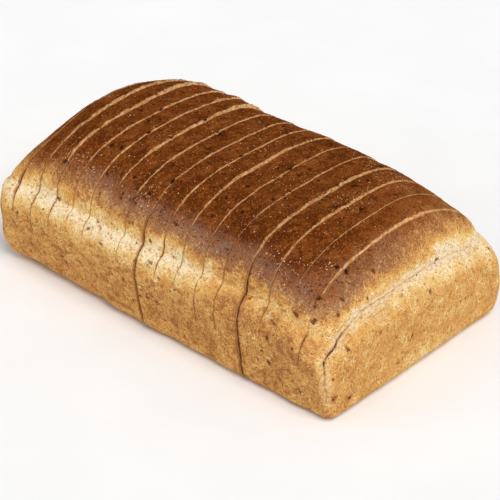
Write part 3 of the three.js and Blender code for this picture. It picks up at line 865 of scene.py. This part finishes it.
class Shader:
    """A material's nodes, with short calls to add and join them."""

    def __init__(self, name):
        self.material = bpy.data.materials.new(name)
        self.material.use_nodes = True
        self.tree = self.material.node_tree
        self.body = self.tree.nodes["Principled BSDF"]
        self.place = self.node("TexCoord").outputs["Object"]

    def node(self, kind, **settings):
        node = self.tree.nodes.new("ShaderNode" + kind)
        for key, value in settings.items():
            setattr(node, key, value)
        return node

    def feed(self, socket, value):
        """Joins a socket to another, or gives it a number or a colour."""
        if isinstance(value, bpy.types.NodeSocket):
            self.tree.links.new(value, socket)
        else:
            socket.default_value = colour(*value) if isinstance(value, tuple) else value

    def value(self, name):
        return self.node("Attribute", attribute_name=name).outputs["Fac"]

    def math(self, operation, a, b=0.0, c=None, clamp=False):
        node = self.node("Math", operation=operation, use_clamp=clamp)
        self.feed(node.inputs[0], a)
        self.feed(node.inputs[1], b)
        if c is not None:
            self.feed(node.inputs[2], c)
        return node.outputs[0]

    def stretched(self, scale, offset=0):
        """The place on the loaf, in units of a size in millimetres for each axis."""
        node = self.node("Mapping")
        self.feed(node.inputs["Vector"], self.place)
        node.inputs["Location"].default_value = [offset * 1.0, offset * 0.7, offset * 0.3]
        node.inputs["Scale"].default_value = [1000 / s for s in scale]
        return node.outputs["Vector"]

    def noise(self, size, detail=2.0, rough=0.5, scale=(1, 1, 1), offset=0):
        node = self.node("TexNoise")
        self.feed(node.inputs["Vector"], self.stretched([size * s for s in scale], offset))
        node.inputs["Scale"].default_value = 1
        node.inputs["Detail"].default_value = detail
        node.inputs["Roughness"].default_value = rough
        return node.outputs["Fac"]

    def times(self, a, b):
        return self.math("MULTIPLY", a, b)

    def centred(self, noise, amount):
        return self.math("MULTIPLY_ADD", noise, amount, -amount / 2)

    def blots(self, size, low, high, offset, scale=(1, 1, 1)):
        """1 inside ragged spots of a size, which cover less where low is higher."""
        return self.ranged(self.noise(size, 2, 0.55, scale, offset), low, high)

    def ranged(self, value, from_low, from_high, low=0, high=1):
        """A value taken from one range to another, smoothly and no further."""
        node = self.node("MapRange", interpolation_type="SMOOTHSTEP")
        for key, item in zip(("Value", "From Min", "From Max", "To Min", "To Max"),
                             (value, from_low, from_high, low, high)):
            self.feed(node.inputs[key], item)
        return node.outputs["Result"]

    def ramp(self, value, stops):
        node = self.node("ValToRGB")
        self.feed(node.inputs["Fac"], value)
        elements = node.color_ramp.elements
        while len(elements) < len(stops):
            elements.new(0.5)
        for element, (position, tint) in zip(elements, stops):
            element.position = position
            element.color = colour(*tint)
        return node.outputs["Color"]

    def blend(self, amount, a, b):
        node = self.node("Mix", data_type="RGBA")
        self.feed(node.inputs["Factor"], amount)
        self.feed(node.inputs[6], a)
        self.feed(node.inputs[7], b)
        return node.outputs[2]

    def laid(self, base, amount, strength, tint):
        """A colour laid over the base where amount says, up to a strength."""
        return self.blend(self.times(amount, strength), base, tint)

    def finished(self, base, roughness, specular, normal=None):
        """The material with its surface joined up."""
        self.feed(self.body.inputs["Base Color"], base)
        self.feed(self.body.inputs["Roughness"], roughness)
        self.body.inputs["Specular IOR Level"].default_value = specular
        if normal is not None:
            self.feed(self.body.inputs["Normal"], normal)
        return self.material

    def bump(self, height, distance, before=None):
        node = self.node("Bump")
        node.inputs["Distance"].default_value = distance / 1000
        node.inputs["Strength"].default_value = 1
        self.feed(node.inputs["Height"], height)
        if before is not None:
            self.feed(node.inputs["Normal"], before)
        return node.outputs["Normal"]


CRUST_STOPS = [
    (0.00, (246, 227, 188)), (0.06, (240, 209, 151)), (0.13, (230, 187, 116)), (0.22, (218, 164, 92)),
    (0.32, (212, 153, 86)), (0.5, (182, 127, 74)), (0.65, (157, 101, 56)), (0.78, (136, 76, 32)),
    (0.88, (119, 60, 16)), (1.00, (90, 40, 7)),
]


def crust_material(name, patchy):
    """Crust from its pale to its dark bake, with patches, specks, pores and a fine grain."""
    s = Shader(name)
    tone = s.value("tone")
    crumbly = s.value("crumbly")
    on_crown = s.ranged(tone, 0.5, 0.8)
    on_wall = s.math("SUBTRACT", 1.0, on_crown)
    grain = s.noise(0.85, 2, 0.7, (1, 1, 1.2))
    broad = s.centred(s.noise(9, 2, 0.55), 0.7)
    middle = s.centred(s.noise(3.2, 3, 0.6, (1, 1, 1.3), 11), 0.4)
    fine = s.times(s.centred(grain, 0.95), s.math("MULTIPLY_ADD", on_crown, -0.25, 1.0))
    uneven = s.math("ADD", s.math("ADD", broad, middle), fine)
    amount = s.times(s.ranged(tone, 0.0, 0.4, 0.3, 1.0), s.math("MULTIPLY_ADD", on_crown, -0.35, 1.0))
    base = s.ramp(s.math("MULTIPLY_ADD", uneven, amount, tone, clamp=True), CRUST_STOPS)
    # Painted sheen: the grey-mauve tint that stands in for the light's reflection on the crown's turning
    # shoulder
    base = s.laid(base, s.value("painted_sheen"), 0.7, (144, 110, 92))
    base = s.laid(base, s.ranged(crumbly, 0.3, 0.9), 0.6, (236, 216, 182))
    # Patches of deeper bake and pale streaks on the wall, and rusty patches on the crown
    patch = s.times(s.blots(5.5, 0.5, 0.66, 91, (1, 1, 0.8)), s.ranged(tone, 0.14, 0.28))
    base = s.laid(base, patch, s.times(on_wall, patchy), (160, 100, 54))
    streak = s.blots(2.2, 0.56, 0.68, 37, (1, 1, 2.2))
    base = s.laid(base, streak, s.times(on_wall, 0.45), (228, 178, 108))
    glow = s.blots(6.5, 0.52, 0.7, 57, (0.8, 1.3, 1))
    base = s.laid(base, glow, s.times(on_crown, 0.55), (150, 84, 34))
    # Bran in the crust, small burnt spots and pale ones
    plain = s.ranged(crumbly, 0.5, 0.85, 1, 0.5)
    bran = s.times(s.blots(1.9, 0.6, 0.65, 21), plain)
    spot = s.blend(s.ranged(tone, 0.12, 0.3), (214, 148, 70), (168, 104, 54))
    base = s.laid(base, bran, 0.75, s.blend(on_crown, spot, (146, 78, 30)))
    rust = s.times(s.blots(0.8, 0.625, 0.66, 33), plain)
    burnt = s.blend(on_crown, (120, 74, 54), (44, 23, 14))
    base = s.laid(base, rust, s.ranged(tone, 0.25, 0.45, 0.45, 0.7), burnt)
    pale = s.blend(on_crown, (250, 218, 152), (194, 138, 94))
    base = s.laid(base, s.blots(0.75, 0.63, 0.66, 45, (1, 1, 1.3)), 0.6, pale)
    # Ragged purple-brown pores, most of all where the crown turns dark
    pore = s.blend(on_crown, (128, 82, 60), (80, 46, 34))
    base = s.laid(base, s.blots(1.2, 0.6, 0.63, 29), s.ranged(tone, 0.16, 0.5, 0.4, 0.85), pore)
    # Crackle of the crumbly band, drawn out along the crease
    crackle = s.times(s.blots(1.25, 0.56, 0.63, 69, (0.7, 2.0, 0.7)), s.ranged(crumbly, 0.35, 0.8))
    base = s.laid(base, crackle, 0.36, (160, 118, 82))
    # Painted shade at the edges of open cuts, torn edges where the crumb shows, then painted shade in the
    # pits and cracks
    base = s.laid(base, s.value("edge"), 0.8, (150, 88, 42))
    torn = [(0.35, (162, 102, 54)), (0.5, (208, 151, 97)), (0.65, (232, 185, 132))]
    base = s.laid(base, s.value("torn"), 0.85, s.ramp(s.noise(2.0, 3, 0.7), torn))
    # Painted shade round and inside the pits and cracks: a darker rim, then a darker core
    dark = s.value("dark")
    pit_rim_shade = s.blend(on_crown, (172, 112, 64), (64, 32, 16))
    base = s.blend(s.ranged(dark, 0.05, 0.35, 0, 0.45), base, pit_rim_shade)
    pit_core_shade = s.blend(on_crown, (96, 60, 42), (34, 18, 12))
    base = s.blend(s.ranged(dark, 0.35, 0.75, 0, 0.85), base, pit_core_shade)
    rough = s.math("ADD", s.math("MULTIPLY_ADD", on_crown, -0.2, 0.7), s.centred(grain, 0.3))
    coarse = s.bump(s.noise(1.4, 3, 0.6, (1, 1, 1), 71), 0.25)
    pores = s.bump(s.times(s.blots(0.9, 0.55, 0.68, 83), -1.0), 0.15, coarse)
    return s.finished(base, rough, 0.0, pores)


def crumb_material():
    """Open, moist crumb, browner at its rim beside the crust, with painted shade near the rim below the
    crown's top, where the next slice shadows the cut face.
    """
    s = Shader("crumb")
    inside = s.value("inside")
    stops = [(0.34, (196, 136, 76)), (0.48, (240, 188, 124)), (0.62, (255, 226, 172))]
    base = s.ramp(s.noise(2.4, 4, 0.65), stops)
    base = s.laid(base, s.blots(1.6, 0.55, 0.65, 15), 0.45, (140, 88, 50))
    base = s.blend(s.ranged(inside, 0.0, 0.3, 0.4, 0), base, (128, 74, 36))
    # Painted shade near the rim, below the crown's top, where the next slice shadows the cut face
    base = s.laid(base, s.value("dark"), s.ranged(inside, 1.0, 5.0, 0.85, 0), (146, 82, 40))
    return s.finished(base, 0.85, 0.1, s.bump(s.noise(0.9, 3, 0.6), 0.4))


def speck_material(name, stops, roughness):
    """Bran or crumbs, each a little different."""
    s = Shader(name)
    return s.finished(s.ramp(s.noise(1.2, 2, 0.6), stops), roughness, 0.1, s.bump(s.noise(0.4, 2, 0.6), 0.05))


def scattered(name, places, normals, radius, thickness, seed):
    """Small flakes half sunk in the crust: ragged lenses of their own shapes."""
    rng = np.random.default_rng(seed)
    count, rim = len(places), 7
    helper = np.where(np.abs(normals[:, :1]) < 0.8, [[1.0, 0, 0]], [[0, 1.0, 0]])
    u = unit(np.cross(normals, helper))
    v = np.cross(normals, u)
    turn = rng.uniform(0, 2 * math.pi, (count, 1)) + np.linspace(0, 2 * math.pi, rim, endpoint=False)
    size = rng.uniform(*radius, (count, 1)) * rng.uniform(0.6, 1.2, (count, rim))
    narrow = rng.uniform(0.45, 1.0, (count, 1))
    ring = (places[:, None] + (size * np.cos(turn))[..., None] * u[:, None]
            + (size * narrow * np.sin(turn))[..., None] * v[:, None])
    thick = rng.uniform(*thickness, (count, 1))
    points = np.stack([places + normals * thick, places - normals * thick], axis=1)
    points = np.concatenate([ring, points], axis=1)
    i = np.arange(rim)
    j = (i + 1) % rim
    top = np.stack([i, j, 0 * i + rim], axis=-1)
    under = np.stack([j, i, 0 * i + rim + 1], axis=-1)
    triangles = np.concatenate([top, under])[None] + (np.arange(count) * (rim + 2))[:, None, None]
    faces = Faces()
    faces.add(points, {})
    faces.join(triangles.reshape(-1, 3))
    return faces.mesh(name)


def floor_material():
    """A plain pale floor."""
    s = Shader("floor")
    stops = [(0.3, (246, 246, 246)), (0.7, (250, 250, 250))]
    return s.finished(s.ramp(s.noise(60, 2, 0.5), stops), 0.8, 0.5)


def add_object(data, materials=()):
    """A new object in the scene for a mesh, a light or a camera."""
    thing = bpy.data.objects.new(data.name, data)
    bpy.context.scene.collection.objects.link(thing)
    for material in materials:
        data.materials.append(material)
    return thing


def add_loaf():
    """All pieces of the loaf."""
    boxes = [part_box(name) for name in NODES]
    middle_low, middle_high = boxes[MIDDLE]
    SHIFTS[:] += (middle_low.y + middle_high.y) * 500 - SHIFTS[MIDDLE]
    crumb = crumb_material()
    slices = crust_material("slice_crust", 0.75)
    heels = crust_material("heel_crust", 0.3)
    for i, (name, (low, high)) in enumerate(zip(NODES, boxes)):
        shift = SHIFTS[i]
        if i == 0:
            faces = heel_faces(i, high.x * 1000, -1, shift)
        elif i == len(NODES) - 1:
            faces = heel_faces(i, low.x * 1000, 1, shift)
        else:
            faces = slice_faces(i, low.x * 1000, high.x * 1000, shift)
        heel = name.startswith("heel")
        piece = add_object(faces.mesh("loaf_" + name), [heels if heel else slices, crumb])
        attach(piece, "root")
        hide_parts(name)


def add_specks():
    """Bran flakes on all of the crust, and pale crumbs on the crown, thicker in some places."""
    crust = np.concatenate(CRUST)
    crust = crust[crust[:, 2] > 2]
    places, normals, tone = crust[:, :3], crust[:, 3:6], crust[:, 6]
    rng = np.random.default_rng(11)
    crowd = smooth(-0.1, 0.9, noise(places, 18, 90)) ** 2 + 0.08
    on_crown = smooth(0.6, 0.8, tone)
    bran = speck_material("bran", [(0.35, (100, 58, 34)), (0.65, (146, 92, 54))], 0.6)
    pale = speck_material("pale_flakes", [(0.35, (192, 142, 94)), (0.65, (232, 196, 150))], 0.7)
    for name, material, slot, weight, count, radius in (
            ("bran_flakes", bran, "bran", crowd + 0.3, 1200, (0.22, 0.55)),
            ("pale_crumbs", pale, "pale_flakes", crowd * on_crown, 900, (0.2, 0.5))):
        picked = rng.choice(len(places), count, False, weight / weight.sum())
        mesh = scattered(name, places[picked], normals[picked], radius, (0.06, 0.16), 12)
        piece = add_object(mesh, [material])
        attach(piece, "root")


def add_floor():
    bpy.ops.mesh.primitive_plane_add(size=6)
    floor = bpy.context.object
    floor.name = "floor"
    floor.data.materials.append(floor_material())


def add_light():
    """A white room and two broad, distant softboxes."""
    scene = bpy.context.scene
    scene.world = bpy.data.worlds.new("studio")
    scene.world.use_nodes = True
    background = scene.world.node_tree.nodes["Background"]
    background.inputs["Color"].default_value = (1, 1, 1, 1)
    background.inputs["Strength"].default_value = 0.42
    for name, towards, angle, strength in SOFTBOXES:
        light = bpy.data.lights.new(name, "SUN")
        light.angle = math.radians(angle)
        light.energy = strength
        lamp = add_object(light)
        lamp.location = Vector(towards)
        lamp.rotation_euler = (-lamp.location).to_track_quat("-Z", "Y").to_euler()
    scene.view_settings.view_transform = "Standard"


def add_camera():
    """The camera at the photo's angle, with the loaf at the photo's place in the picture."""
    azimuth = math.radians(AZIMUTH)
    elevation = math.radians(ELEVATION)
    level = math.cos(elevation)
    back = np.array([math.sin(azimuth) * level, -math.cos(azimuth) * level, math.sin(elevation)])
    right = np.array([math.cos(azimuth), math.sin(azimuth), 0])
    up = np.cross(back, right)
    place = (back * DISTANCE + up * DISTANCE * BASE_BELOW / FOCAL + [AIM_ALONG, 0, 0]) / 1000
    camera = add_object(bpy.data.cameras.new("camera"))
    camera.data.sensor_width = SENSOR
    camera.data.lens = FOCAL / PICTURE * SENSOR
    turned_to = np.column_stack([right, up, back, place])
    camera.matrix_world = Matrix(np.vstack([turned_to, [0, 0, 0, 1]]).tolist())
    bpy.context.scene.camera = camera


add_floor()
add_light()
add_camera()
add_loaf()
add_specks()
